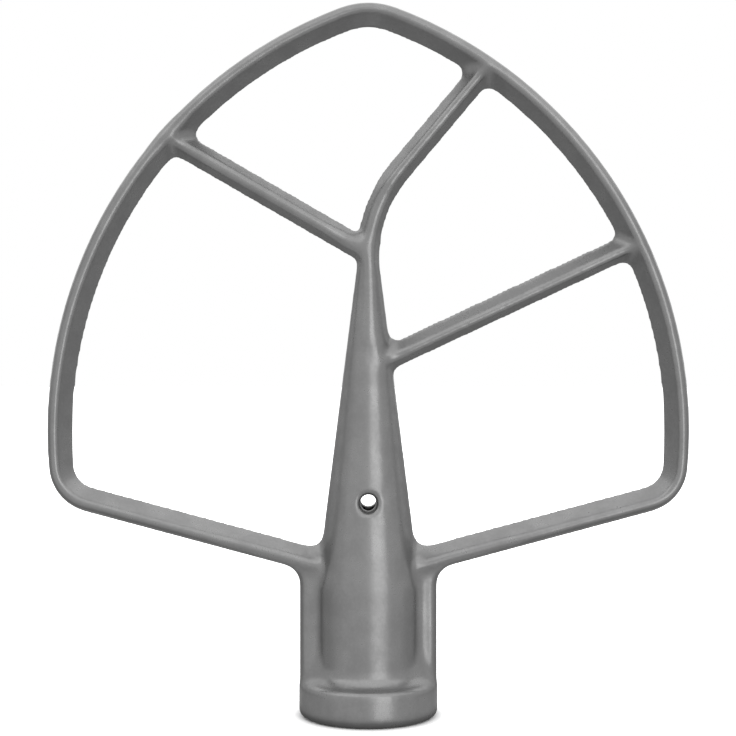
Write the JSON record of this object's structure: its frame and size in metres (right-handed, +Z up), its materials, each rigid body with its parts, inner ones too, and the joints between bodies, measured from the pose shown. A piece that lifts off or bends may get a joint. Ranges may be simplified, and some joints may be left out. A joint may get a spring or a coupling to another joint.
{
  "type": "stand mixer flat beater",
  "caption": "Cast flat beater for a stand mixer: a pointed loop with slanting arms on a tapered stem, and a hub with a socket for the drive shaft.",
  "frame": {"origin": "centre of the hub's foot, on the surface that the beater stands on", "axes": "+Z up the stem to the crown of the loop, X across the loop, Y through its thickness"},
  "size_m": [0.15, 0.0322, 0.1662],
  "materials": {
    "cast_aluminium": "satin, as cast and lightly burnished"
  },
  "bodies": {
    "root": {"flat_beater": "cast_aluminium"}
  },
  "joints": []
}
